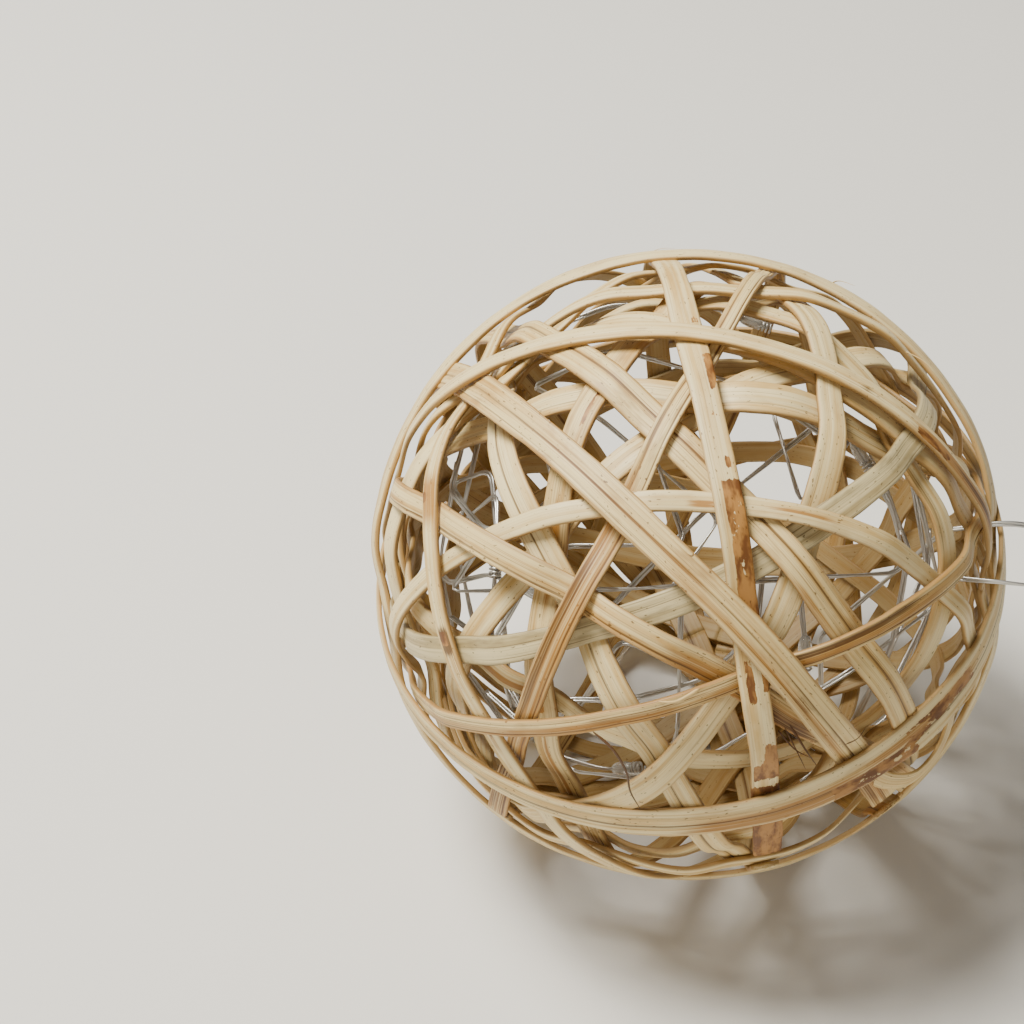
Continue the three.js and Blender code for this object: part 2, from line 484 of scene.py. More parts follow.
def tube(line: np.ndarray, radius: np.ndarray | float, sides: int) -> Skin:
    """Sweeps a round section along a line, with closed ends.

    Args:
        line: places along the middle of the tube, in metres.
        radius: radius in metres, one for each place or one for all.
        sides: faces round the tube.

    Returns:
        Vertices and faces.
    """
    tangents = unit(np.gradient(line, axis=0))
    start = np.cross(tangents[0], [0.0, 0.0, 1.0])
    if np.linalg.norm(start) < NEARLY_UPRIGHT:
        start = np.cross(tangents[0], [1.0, 0.0, 0.0])
    normals = [start / np.linalg.norm(start)]
    for tangent in tangents[1:]:
        carried = normals[-1] - tangent * normals[-1].dot(tangent)
        normals.append(carried / np.linalg.norm(carried))
    normal = np.array(normals)[:, None, :]
    binormal = np.cross(tangents, np.array(normals))[:, None, :]
    angles = np.linspace(0, 2 * np.pi, sides, endpoint=False)[None, :, None]
    radii = np.broadcast_to(np.asarray(radius, float), (len(line),))[:, None, None]
    rings = line[:, None, :] + radii * (np.cos(angles) * normal + np.sin(angles) * binormal)
    faces = ring_faces(len(line), sides)
    return rings.reshape(-1, 3), faces


def join(skins: list[Skin]) -> Skin:
    """Puts several meshes into one.

    Args:
        skins: vertices and faces of each.

    Returns:
        Vertices and faces of them all.
    """
    faces: Faces = []
    offset = 0
    for vertices, sides in skins:
        faces += [tuple(i + offset for i in face) for face in sides]
        offset += len(vertices)
    return np.vstack([vertices for vertices, _ in skins]), faces


def distances(line: np.ndarray) -> np.ndarray:
    """Measures how far along a line each of its points lies."""
    return np.concatenate([[0], np.cumsum(np.linalg.norm(np.diff(line, axis=0), axis=1))])


def ring_faces(rings: int, sides: int) -> Faces:
    """Joins rings of vertices into a skin and closes both ends.

    Args:
        rings: number of rings.
        sides: vertices in each ring.

    Returns:
        The faces.
    """
    faces: Faces = []
    for i in range(rings - 1):
        for j in range(sides):
            k = (j + 1) % sides
            faces.append((i * sides + j, i * sides + k, (i + 1) * sides + k, (i + 1) * sides + j))
    faces.append(tuple(reversed(range(sides))))
    faces.append(tuple(range((rings - 1) * sides, rings * sides)))
    return faces


# ---- cane strips


class MarkKind(Enum):
    """What a mark on a strip is: the marks attribute's channel that it goes in."""

    BARK = 0
    STAIN = 1
    # Rust; a mark from a strip's edge at -1 along its side paints that side's shade.
    RUST_AND_SHADE = 2


@dataclass(frozen=True)
class Mark:
    """A patch on a strip's outer face.

    start and end are degrees round the strip, as its plane is laid out. left and right run
    from -1 to 1 across it, positive on the side that the plane's normal points to.
    """

    kind: MarkKind
    start: float
    end: float
    left: float = -1.0
    right: float = 1.0
    strength: float = 1.0


@dataclass
class Wander:
    """Slow, seeded wandering, as hand-split cane has in its width and its line."""

    generator: np.random.Generator
    length: float

    def along(self, places: np.ndarray, wavelength: float, size: float) -> np.ndarray:
        """Wandering values along the strip.

        Args:
            places: distances along the strip in metres.
            wavelength: shortest wave in metres.
            size: rough size of the wandering.

        Returns:
            One value for each place.
        """
        values = np.zeros_like(places)
        for stretch in (1.0, 1.7, 2.9):
            turns = max(1, round(self.length / (wavelength * stretch)))
            phase = self.generator.uniform(0, 2 * np.pi)
            values += np.sin(2 * np.pi * turns * places / self.length + phase)
        return values * size / 1.7


@dataclass
class RattanStrip:
    """One split-cane strip, wound once round the ball.

    An open strip has its two ends at the angle open_at. shape lists degrees round the strip with
    the width there, as a share of the plain band's, and how far the strip rolls over, in degrees.
    """

    node: str
    cane: Cane
    ribs: tuple[float, ...] = ()
    marks: tuple[Mark, ...] = ()
    open_at: float | None = None
    shape: tuple[tuple[float, float, float], ...] = ((0.0, 1.0, 0.0),)
    seed: int = 0
    thickness: float = 0.8 * MM
    crown: float = 0.16 * MM
    rib_depth: float = 0.14 * MM
    step: float = 1.1 * MM
    face_points: int = 15

    LAP_TO_THE_BACK = 0.04
    LEAST_RISE = 0.03  # below this the plane counts as upright
    EDGE_ROUNDING, ROUNDED_FROM = 0.22 * MM, 0.9
    RIB_SPREAD, UNDERSIDE = 0.11, 0.97
    # Across position from which the strip is drawn darker towards its edges.
    EDGE_DARKENS_FROM = 0.86
    BARK_SOFTNESS, MARK_SOFTNESS, SIDE_SOFTNESS = 1.2, 9.0, 0.18
    # How much darker each rib's groove is drawn, and how wide the darkening is.
    GROOVE_STAIN, GROOVE_SPREAD = 0.75, 0.1
    # Wandering of the width, the line, the roll and the surface: shortest wave, then size.
    WIDTH_WAVE, WIDTH_FLUTTER = (30 * MM, 0.05), (5 * MM, 0.012)
    LINE_WAVE, ROLL_WAVE = (40 * MM, 0.22 * MM), (25 * MM, 0.045)
    SURFACE_WAVE = (8 * MM, 0.03 * MM)
    # Shifts of the grain that give each strip, and each of its faces, a pattern of its own.
    SEED_ALONG, SEED_DEEP, INNER_DEEP = 37.0, 11.3, 5.0

    def stations(self) -> tuple[np.ndarray, np.ndarray]:
        """Reads the plain band's cross sections.

        A closed strip starts where it lies deep and well back, so that its lap is hidden.

        Returns:
            Rows of place, outward direction, sideways direction and half width, and the angle
            of each row round the strip in degrees.
        """
        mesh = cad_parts[self.node].data
        corners = np.array([v.co[:] for v in mesh.vertices])
        corners = np.unique(corners.round(7), axis=0) - BALL_CENTRE
        normal = np.linalg.svd(corners - corners.mean(axis=0), full_matrices=False)[2][2]
        if (normal[2] if abs(normal[2]) > self.LEAST_RISE else normal[1]) < 0:
            normal = -normal
        along = unit(np.cross([0.0, 0.0, 1.0], normal))
        upward = np.cross(normal, along)
        angles = np.degrees(np.arctan2(corners @ upward, corners @ along)) % 360
        first = 0.0 if self.open_at is None else self.open_at
        turned = (angles - first + 1) % 360
        order = np.argsort(turned)
        groups = np.split(order, np.nonzero(np.diff(turned[order]) > STATION_GAP / 2)[0] + 1)
        rows, places = [], []
        for group in groups:
            section = corners[group]
            outer = section[np.argsort(np.linalg.norm(section, axis=1))[-2:]]
            sideways = outer[0] - outer[1]
            half_width = np.linalg.norm(sideways) / 2
            sideways = sideways / (2 * half_width) * (1 if sideways @ normal > 0 else -1)
            middle = outer.mean(axis=0)
            rows.append([*(middle + BALL_CENTRE), *unit(middle), *sideways, half_width])
            places.append(angles[group[0]])
        table = np.column_stack([rows, places])
        if self.open_at is None:
            outside = np.linalg.norm(table[:, :3] - BALL_CENTRE, axis=1)
            showing = outside - self.LAP_TO_THE_BACK * table[:, 1]
            table = np.roll(table, -int(np.argmin(showing)), axis=0)
        return table[:, :-1], np.unwrap(table[:, -1], period=360)

    def _profile(self) -> tuple[np.ndarray, np.ndarray]:
        """Works out the strip's cross section.

        Returns:
            Across positions from -1 to 1 and heights above the outer face in metres, round
            the whole section.
        """
        across = np.sin(np.linspace(-1, 1, self.face_points) * np.pi / 2)
        edge = (np.abs(across) - self.ROUNDED_FROM) / (1 - self.ROUNDED_FROM)
        rounding = self.EDGE_ROUNDING * np.clip(edge, 0, 1) ** 2
        height = self.crown * (1 - across**2) - rounding
        for rib in self.ribs:
            height -= self.rib_depth * np.exp(-(((across - rib) / self.RIB_SPREAD) ** 2))
        under = across[::-2] * self.UNDERSIDE
        under_height = np.full_like(under, -self.thickness)
        return np.concatenate([across, under]), np.concatenate([height, under_height])

    def build(self) -> Object:
        """Builds the strip's mesh and hides the plain band that it stands for.

        Returns:
            The strip.
        """
        rows, angles = self.stations()
        body = smooth_line(rows, self.open_at is None, self.step)
        if self.open_at is None:
            angles = np.append(angles, angles[0] + 360)
        degrees = np.interp(
            np.linspace(0, 1, len(body)), np.linspace(0, 1, len(angles)), angles
        )
        line, outward, sideways = body[:, :3], unit(body[:, 3:6]), unit(body[:, 6:9])
        distance = distances(line)
        wander = Wander(np.random.default_rng(self.seed), distance[-1])
        spots, widths, rolls = np.array(self.shape).T
        half_width = body[:, 9] * np.interp(degrees, spots, widths, period=360)
        slow = wander.along(distance, *self.WIDTH_WAVE)
        half_width *= 1 + slow + wander.along(distance, *self.WIDTH_FLUTTER)
        drift = wander.along(distance, *self.LINE_WAVE)
        roll = wander.along(distance, *self.ROLL_WAVE)
        roll += np.radians(np.interp(degrees, spots, rolls, period=360))
        side = unit(sideways + roll[:, None] * outward)
        lift = unit(np.cross(np.cross(side, outward), side))
        middle = line + drift[:, None] * sideways

        across, height = self._profile()
        rings = middle[:, None, :] + (half_width[:, None] * across)[:, :, None] * side[:, None, :]
        surface = wander.along(distance, *self.SURFACE_WAVE)[:, None] + height[None, :]
        rings = rings + surface[:, :, None] * lift[:, None, :]
        rings[:, :, 2] = np.maximum(rings[:, :, 2], 0)

        sides = len(across)
        wide, lifted = np.tile(across, len(body)), np.tile(height, len(body))
        inner = lifted < -0.5 * self.thickness
        grain = np.column_stack(
            [
                np.repeat(distance, sides) / MM + self.seed * self.SEED_ALONG,
                wide * np.repeat(half_width, sides) / MM,
                self.seed * self.SEED_DEEP + inner * self.INNER_DEEP,
            ]
        )
        attributes = {
            "grain": grain, "marks": self._paint(np.repeat(degrees, sides), wide),
            "wear": self._darkening_and_inner_shade(wide, inner),
        }
        skin = (rings.reshape(-1, 3), ring_faces(len(body), sides))
        piece = make_piece(f"{self.node}_cane", *skin, attributes)
        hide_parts(self.node)
        return piece

    def _paint(self, degrees: np.ndarray, across: np.ndarray) -> np.ndarray:
        """Lays the strip's marks out over its vertices.

        Args:
            degrees: angle of each vertex round the strip.
            across: position of each vertex across the strip, -1 to 1.

        Returns:
            Rows of bark, stain, and rust strength, the rust in part painted shade along the strips'
            sides.
        """
        painted = np.zeros((len(across), 3))
        for mark in self.marks:
            middle, reach = (mark.start + mark.end) / 2, (mark.end - mark.start) / 2
            away = np.abs((degrees - middle + 180) % 360 - 180)
            centre, half = (mark.left + mark.right) / 2, (mark.right - mark.left) / 2
            soft = min(self.MARK_SOFTNESS, reach)
            softness = self.BARK_SOFTNESS if mark.kind is MarkKind.BARK else soft
            inside_along = np.clip((reach - away) / softness + 0.5, 0, 1)
            inside_across = np.clip((half - np.abs(across - centre)) / self.SIDE_SOFTNESS + 0.5, 0, 1)
            strength = mark.strength * inside_along * inside_across
            channel = mark.kind.value
            painted[:, channel] = np.maximum(painted[:, channel], strength)
        # Each rib's groove is drawn darker along its length, in the stain channel.
        for rib in self.ribs:
            groove = self.GROOVE_STAIN * np.exp(-(((across - rib) / self.GROOVE_SPREAD) ** 2))
            painted[:, MarkKind.STAIN.value] = np.maximum(painted[:, MarkKind.STAIN.value], groove)
        return painted

    def _darkening_and_inner_shade(self, across: np.ndarray, inner: np.ndarray) -> np.ndarray:
        """Marks where the cane is drawn darker: towards its edges, and on the inner face, where the
        darker colour is painted shade.

        Args:
            across: position of each vertex across the strip, -1 to 1.
            inner: whether each vertex is on the inner face.

        Returns:
            Rows of edge darkening, inner-face painted shade and a zero that fills the vector.
        """
        darkened_rows = np.zeros((len(across), 3))
        past = (np.abs(across) - self.EDGE_DARKENS_FROM) / (1 - self.EDGE_DARKENS_FROM)
        darkened_rows[:, 0] = np.clip(past, 0, 1)
        # Painted shade: the inner face is darkened all over.
        darkened_rows[:, 1] = inner
        return darkened_rows


def dress_cane(
    piece: Object, cane: Cane, materials: dict[Cane, Material]
) -> None:
    """Gives a piece its cane.

    Args:
        piece: the piece.
        cane: the cane that it is split from.
        materials: the material of each cane.
    """
    piece.data.materials.append(materials[cane])


@dataclass(frozen=True)
class LooseFibre:
    """One fibre that has split away from a strip: a thin tapered ribbon."""

    route: tuple[tuple[float, float, float], ...]
    width: float = 0.4
    cane: Cane = Cane.BARK
    darkened: float = 0.85

    THICKNESS_SHARE = 0.4
    ROOT_SHARE = 0.12
    SIDES = 8

    def build(self, name: str) -> Object:
        """Builds the fibre.

        Args:
            name: name of the piece.

        Returns:
            The fibre.
        """
        line = smooth_line(MM * np.array(self.route), False, 0.5 * MM)
        place = np.linspace(0, 1, len(line))
        taper = np.sqrt(np.clip(np.minimum(place / self.ROOT_SHARE, 1) * (1.02 - place), 0.01, 1))
        vertices, faces = tube(line, taper * self.width / 2 * MM, self.SIDES)
        rings = vertices.reshape(len(line), self.SIDES, 3) - line[:, None, :]
        outward = unit(line - BALL_CENTRE)[:, None, :]
        depth = (rings * outward).sum(axis=2, keepdims=True)
        rings = rings - (1 - self.THICKNESS_SHARE) * depth * outward + line[:, None, :]
        vertices = rings.reshape(-1, 3)
        grain = np.zeros((len(vertices), 3))
        grain[:, 0] = np.arange(len(vertices)) / self.SIDES * 0.5
        blank = np.zeros((len(vertices), 3))
        marks = np.tile([0.0, self.darkened, self.darkened], (len(vertices), 1))
        return make_piece(name, vertices, faces, {"grain": grain, "marks": marks, "wear": blank})


# Fibres in millimetres: the long splinter first, then curls and frays at the strips' ends.
LOOSE_FIBRES = {
    "splinter": LooseFibre(
        ((-18.1, -50.4, 65.3), (-15, -52.6, 63.6), (-12.8, -53.9, 59.9), (-12, -54.3, 55.6),
         (-10.3, -54.6, 51.7)),
        0.6,
    ),
    "curl": LooseFibre(
        ((-2, -50.6, 75.1), (-3.5, -51.4, 74.5), (-5.8, -52, 73.6), (-8.2, -50.8, 72.4)),
        0.8, Cane.HONEY, 0.3,
    ),
    "fray_1": LooseFibre(((12.4, -50.2, 66.4), (14.8, -51.9, 63), (16.9, -52.6, 59.8)), 0.45),
    "fray_2": LooseFibre(((11.6, -50.3, 66), (13.6, -52.1, 62.6), (15.2, -53.1, 59.4)), 0.3),
    "fray_3": LooseFibre(((10.6, -50.5, 65.6), (13.2, -51.8, 62.8), (15.8, -52.2, 61.1)), 0.35),
    "fray_4": LooseFibre(((21.5, -49.6, 61.2), (23.4, -49.3, 62.3), (24.6, -48.5, 63.9)), 0.3),
    "rim_fibre_1": LooseFibre(
        ((24.3, 26, 95), (25.6, 24.6, 96.6), (28, 22, 97.4)), 0.35, Cane.HONEY, 0.3
    ),
    "rim_fibre_2": LooseFibre(
        ((34, 10, 93.4), (37.6, 6.3, 93.6), (39.6, 4, 92.6)), 0.4, Cane.HONEY, 0.3
    ),
    "rim_fibre_3": LooseFibre(
        ((-7.9, 29.2, 98.6), (-5, 30.4, 99.2), (-2.4, 30, 99.6)), 0.3, Cane.HONEY, 0.3
    ),
}


@dataclass(frozen=True)
class CaneWrap:
    """The short tail of a strip, turned back under the skirt."""

    route: tuple[tuple[float, float, float], ...] = (
        (27.5, -46.2, 50), (31, -45.2, 47.2), (35.4, -42.6, 45.2), (39.6, -38.6, 46.6),
        (41.8, -35, 50.4), (42, -32, 54.4),
    )
    width: float = 3.4
    thickness: float = 0.7

    def build(self) -> Object:
        """Builds the tail.

        Returns:
            The tail.
        """
        line = smooth_line(MM * np.array(self.route), False, 0.8 * MM)
        outward = unit(line - BALL_CENTRE)
        side = unit(np.cross(np.gradient(line, axis=0), outward))
        lift = np.cross(side, np.gradient(line, axis=0))
        lift = unit(lift) * np.sign((lift * outward).sum(axis=1, keepdims=True))
        across = np.array([-1, -0.93, -0.5, 0, 0.5, 0.93, 1, 0.95, 0, -0.95])
        height = np.array([-0.2, 0, 0.1, 0.13, 0.1, 0, -0.2, -0.7, -0.7, -0.7]) * self.thickness
        rings = line[:, None, :] + across[None, :, None] * side[:, None, :] * self.width / 2 * MM
        rings = rings + height[None, :, None] * lift[:, None, :] * MM
        wide = np.tile(across, len(line))
        distance = np.repeat(np.arange(len(line)) * 0.8, len(across))
        grain = np.column_stack([distance, wide * self.width / 2, np.full(len(wide), 3.0)])
        blank = np.zeros((len(wide), 3))
        return make_piece(
            "cane_wrap", rings.reshape(-1, 3), ring_faces(len(line), len(across)),
            {"grain": grain, "marks": blank, "wear": blank},
        )


# The ball's strips in the order they lie, outermost first, with their finish and marks.
# Rust marks that run from a strip's edge at -1 along its side are painted shade of that side; the
# others are rust.
BARK, STAIN, RUST_AND_SHADE = MarkKind.BARK, MarkKind.STAIN, MarkKind.RUST_AND_SHADE
STRIPS = (
    RattanStrip(
        "skirt_strip", Cane.PALE, ribs=(-0.25, 0.35),
        shape=((200, 1, 0), (285, 0.85, -8), (330, 1.2, -14), (5, 1.4, -20), (60, 1, 0)),
        marks=(
            Mark(BARK, 346, 364, -1.0, -0.05, 0.64), Mark(RUST_AND_SHADE, 322, 352, -0.9, 0.2, 0.6),
            Mark(BARK, 362, 381, -0.4, 0.6, 0.6), Mark(RUST_AND_SHADE, 352, 385, -0.2, 0.4, 0.5),
            Mark(STAIN, 280, 300, -0.8, -0.2, 0.35),
        ),
    ),
    RattanStrip(
        "crown_strip", Cane.PALE, shape=((0, 1.05, -14),),
        marks=(
            Mark(RUST_AND_SHADE, 150, 190, -1, -0.3, 0.4),
        ),
    ),
    RattanStrip(
        "upper_arc_strip", Cane.PALE,
        marks=(
            Mark(STAIN, 79, 82, -0.5, 0.2, 0.4), Mark(STAIN, 118, 121, -0.7, 0.1, 0.6),
            Mark(RUST_AND_SHADE, 112, 126, -0.8, 0.0, 0.35), Mark(BARK, 130, 139, -1, -0.1, 0.75),
            Mark(RUST_AND_SHADE, 130, 160, -0.9, 0.4, 0.75), Mark(STAIN, 140, 158, -0.5, 0.1, 0.7),
        ),
    ),
    RattanStrip("base_cross_strip", Cane.HONEY),
    RattanStrip(
        "long_diagonal_strip", Cane.HONEY, open_at=193, ribs=(0.05, -0.55),
        marks=(
            Mark(RUST_AND_SHADE, 88, 128, -0.15, 0.12, 0.55), Mark(RUST_AND_SHADE, 118, 189, -0.85, -0.2, 0.42),
            Mark(STAIN, 150, 156, -0.6, -0.1, 0.5), Mark(STAIN, 172, 190, -1, -0.3, 0.55),
            Mark(RUST_AND_SHADE, 174, 190, -1, 0.6, 0.5), Mark(RUST_AND_SHADE, 197, 212, -1, 0.2, 0.8),
        ),
    ),
    RattanStrip(
        "bark_strip", Cane.PALE, open_at=202,
        marks=(
            Mark(BARK, 87.5, 91, 0.3, 0.9, 0.55), Mark(BARK, 98.5, 108, 0.3, 1.1, 0.62),
            Mark(BARK, 110.5, 113.5, -0.1, 0.5, 0.55), Mark(BARK, 118, 122, 0.2, 0.8, 0.6),
            Mark(BARK, 122.5, 146, -0.35, 1.1, 0.68), Mark(BARK, 152.5, 160.5, -0.6, 0.15, 0.66),
            Mark(BARK, 152.5, 158.5, 0.45, 1.1, 0.66), Mark(BARK, 167, 172, -0.05, 1.1, 0.66),
            Mark(BARK, 171, 177, -0.85, 1.1, 0.68), Mark(BARK, 178.5, 199, -1.1, 1.1, 0.8),
            Mark(STAIN, 178.5, 199, -0.6, 1.1, 0.3),
        ),
    ),
    RattanStrip(
        "dark_seam_strip", Cane.HONEY, ribs=(-0.1, 0.5, -0.6),
        marks=(
            Mark(STAIN, 30, 52, -0.3, 0.4, 0.5), Mark(STAIN, 56, 94, 0.1, 0.8, 0.7),
            Mark(RUST_AND_SHADE, 352, 410, -1, 0.2, 0.5), Mark(RUST_AND_SHADE, 50, 100, -0.8, 0.1, 0.5),
        ),
    ),
    RattanStrip(
        "knotted_strip", Cane.PALE,
        marks=(
            Mark(BARK, 129.4, 131.6, -0.9, 0.1, 0.8), Mark(RUST_AND_SHADE, 126, 136, -0.8, 0.9, 0.6),
            Mark(BARK, 153.6, 156.6, -0.5, 0.6, 0.9), Mark(STAIN, 153, 158, -0.6, 0.8, 1.0),
            Mark(RUST_AND_SHADE, 152, 163, -0.6, 1, 0.4), Mark(STAIN, 172, 174, -0.2, 0.3, 0.8),
            Mark(RUST_AND_SHADE, 170, 178, -0.3, 0.4, 0.5),
        ),
    ),
    RattanStrip(
        "ribbed_strip", Cane.HONEY, open_at=328, ribs=(-0.62, -0.12, 0.4),
        shape=((70, 1.0, 0), (90, 0.8, 0), (130, 0.8, 0), (150, 1.0, 0)),
        marks=(
            Mark(STAIN, 8, 42, 0.1, 0.9, 0.6), Mark(STAIN, 333, 352, -0.6, 0.9, 0.5),
            Mark(RUST_AND_SHADE, 330, 415, -0.9, 0.9, 0.5), Mark(STAIN, 60, 70, 0.3, 0.9, 0.45),
        ),
    ),
    RattanStrip("back_shoulder_strip", Cane.PALE),
    RattanStrip(
        "left_diagonal_strip", Cane.HONEY, ribs=(-0.6,),
        marks=(
            Mark(STAIN, 104, 130, -0.75, -0.45, 0.45), Mark(RUST_AND_SHADE, 118, 152, -1, 0.3, 0.55),
            Mark(STAIN, 136, 152, -0.9, 0.2, 0.6),
        ),
    ),
    RattanStrip(
        "middle_arc_strip", Cane.PALE,
        marks=(
            Mark(RUST_AND_SHADE, 86, 91, -0.6, 0.1, 0.7), Mark(RUST_AND_SHADE, 99, 113, -0.15, 0.3, 0.6),
            Mark(STAIN, 100, 112, -0.05, 0.2, 0.35),
        ),
    ),
    RattanStrip(
        "broad_diagonal_strip", Cane.HONEY, ribs=(0.2,),
        marks=(
            Mark(RUST_AND_SHADE, 96, 120, 0.1, 0.5, 0.4), Mark(STAIN, 124, 126, -0.5, 0.1, 0.5),
            Mark(RUST_AND_SHADE, 136, 150, -1, -0.5, 0.5),
        ),
    ),
    RattanStrip("grey_strip", Cane.GREY, ribs=(0.3,)),
    RattanStrip("back_upright_strip", Cane.PALE, marks=(Mark(STAIN, 60, 63, -1, 1, 0.6),)),
    RattanStrip(
        "left_limb_strip", Cane.PALE,
        shape=((120, 1, 0), (155, 1.25, -16), (215, 1.25, -16), (250, 1, 0)),
    ),
    RattanStrip("base_band_strip", Cane.PALE, marks=(Mark(RUST_AND_SHADE, 0, 40, -1, 0, 0.4),)),
    RattanStrip("crown_band_strip", Cane.PALE, marks=(Mark(RUST_AND_SHADE, 230, 262, -1, 0, 0.5),)),
    RattanStrip("right_upright_strip", Cane.PALE, ribs=(0.35,)),
    RattanStrip("light_strip", Cane.PALE, ribs=(-0.2,)),
    RattanStrip(
        "lower_band_strip", Cane.PALE,
        marks=(
            Mark(BARK, 8, 22, -0.3, 0.8, 0.62), Mark(RUST_AND_SHADE, 0, 30, -1, 0.2, 0.5),
        ),
    ),
    RattanStrip(
        "streaked_strip", Cane.HONEY,
        marks=(
            Mark(BARK, 104, 119, 0.1, 0.5, 0.62), Mark(RUST_AND_SHADE, 130, 152, -0.2, 0.4, 0.7),
            Mark(BARK, 160, 172, -0.3, 0.25, 0.7), Mark(RUST_AND_SHADE, 176, 204, -0.2, 0.2, 0.9),
        ),
    ),
    RattanStrip("right_limb_strip", Cane.PALE, marks=(Mark(STAIN, 20, 50, 0.2, 1, 0.5),)),
    RattanStrip("broad_crown_strip", Cane.PALE, ribs=(-0.5, 0.3)),
    RattanStrip("inner_diagonal_strip", Cane.PALE, ribs=(0.1,)),
    RattanStrip("inner_slanting_strip", Cane.PALE, marks=(Mark(RUST_AND_SHADE, 86, 104, -0.5, 0.1, 0.9),)),
)


@dataclass
class StripBall:
    """The open ball: every strip, in the order it lies from the outside in."""

    strips: tuple[RattanStrip, ...] = STRIPS

    def build(self) -> list[Object]:
        """Builds and dresses every strip.

        Returns:
            The strips.
        """
        materials = {cane: cane.value.material() for cane in Cane}
        pieces = []
        for seed, strip in enumerate(self.strips, start=1):
            strip.seed = seed
            piece = strip.build()
            dress_cane(piece, strip.cane, materials)
            pieces.append(piece)
        for name, fibre in LOOSE_FIBRES.items():
            piece = fibre.build(f"loose_fibre_{name}")
            dress_cane(piece, fibre.cane, materials)
            pieces.append(piece)
        wrap = CaneWrap().build()
        dress_cane(wrap, Cane.HONEY, materials)
        return [*pieces, wrap]


# ---- light string

# Bend points in metres, in order, as the string is laid in the part.
STRING_ROUTE = MM * np.array(
    [
        (40, -18, 67), (40, -18, 60), (25, -33, 61), (2, -41, 49), (-9, -39, 41), (-20, -28, 30),
        (-31, -21, 44), (-33, -12, 70), (-34, -2, 77), (-41, 1, 71), (-35, -15, 73),
        (-41, -15, 61), (-13, -31, 77), (10, -31, 79), (32, -21, 71), (35, -18, 72),
        (31, -10, 80), (26, -3, 86), (16, -18, 83), (12, -1, 90), (20, -3, 88), (-1, -21, 83),
        (-16, -30, 70), (-21, -27, 72), (-23, -21, 77), (-3, -26, 82), (-8, -12, 90),
        (-14, 20, 85), (-27, 19, 78), (-14, 37, 56), (10, 34, 33), (-6, 17, 18),
        (-20, -34, 52), (-13, -33, 68), (-2, -36, 64), (22, -28, 44), (27, 7, 28), (43, -5.5, 66),
    ]
)
LOOP_ROUTE = MM * np.array(
    [
        (43.5, -5.6, 66.4), (52.5, -6.4, 68.6), (59, -7, 68), (65, -9.5, 67), (68, -14, 66.5),
        (65, -19, 67), (57, -22, 69), (48, -21.4, 69.5), (40.5, -18.2, 67.4),
    ]
)


# Further turns of the string, in metres: each runs from one hiding place to the next.
MORE_TURNS = [
    MM * np.array(turn)
    for turn in (
        [(-27, 22, 84), (-38, 15, 73), (-41, -2, 72), (-35, -14, 74), (-30, -16, 76), (-22, -12, 82)],
        [(-38, -4, 68), (-33, -8, 77), (-33, -16, 73), (-34, -26, 60), (-30, -28, 45)],
        [(-41, -10, 50), (-34, -22, 55), (-27, -24, 74), (-23, -18, 82), (-26, 0, 85)],
        [(-30, 26, 78), (-23, 27, 85), (-13, 28, 89), (4, 22, 93), (14, 20, 90)],
        [(-24, 14, 88), (-12, 7, 95), (-2, 1, 96), (9, -3, 95), (20, -6, 88)],
        [(-31, 12, 84), (-28, 22, 82), (-16, 34, 74)],
        [(20, -4, 94), (25.8, -13, 89), (31, -16, 81), (34, -20, 71), (32, -27, 60), (24, -36, 46)],
        [(34, 4, 82), (38, -4, 73), (43, -10, 57), (34, -26, 42), (18, -36, 36)],
        [(-35, -22, 44), (-23, -35, 42), (-15, -38, 42), (-9, -41, 46)],
        [(-24, -36, 57), (-12, -39, 60), (0, -40, 66), (8, -36, 73), (10, -24, 84)],
        [(-4, -31, 83), (-4, -35, 76), (-4, -43, 57), (-6, -40, 42)],
        [(14, -27, 82), (15, -33, 76), (16, -38, 69), (14, -42, 56)],
        [(-26, -18, 82), (-20, -29, 75), (-14, -36, 66), (-16, -40, 54)],
        [(-40, 8, 70), (-43, -4, 58), (-40, -14, 44), (-30, -24, 34)],
        [(-36, 6, 78), (-40, -8, 66), (-37, -18, 56), (-28, -34, 50)],
        [(-44, 2, 50), (-41, -12, 60), (-34, -18, 68), (-24, -30, 72)],
        [(43, 4, 58), (42, -8, 48), (32, -24, 38)],
        [(38, 6, 72), (40, -10, 62), (30, -28, 52), (24, -34, 40)],
    )
]


@dataclass
class TwistedPair:
    """Two thin silvered wires that run side by side and twist slowly round each other."""

    wire_radius: float = 0.25 * MM
    spacing: float = 0.5 * MM
    twist_pitch: float = 75 * MM
    sample: float = 1.0 * MM
    sides: int = 10

    def strands(self, line: np.ndarray) -> list[np.ndarray]:
        """Works out the two wires' middle lines.

        Args:
            line: middle line of the pair, evenly sampled.

        Returns:
            One line for each wire.
        """
        tangents = unit(np.gradient(line, axis=0))
        distance = distances(line)
        level = unit(np.cross(tangents, [0.05, 0.1, 1.0]))
        other = np.cross(tangents, level)
        turn = 2 * np.pi * distance / self.twist_pitch
        offset = np.cos(turn)[:, None] * level + np.sin(turn)[:, None] * other
        return [line + side * self.spacing / 2 * offset for side in (-1, 1)]

    def mesh(self, line: np.ndarray) -> Skin:
        """Builds both wires as one mesh.

        Args:
            line: middle line of the pair, evenly sampled.

        Returns:
            Vertices and faces.
        """
        return join([tube(strand, self.wire_radius, self.sides) for strand in self.strands(line)])


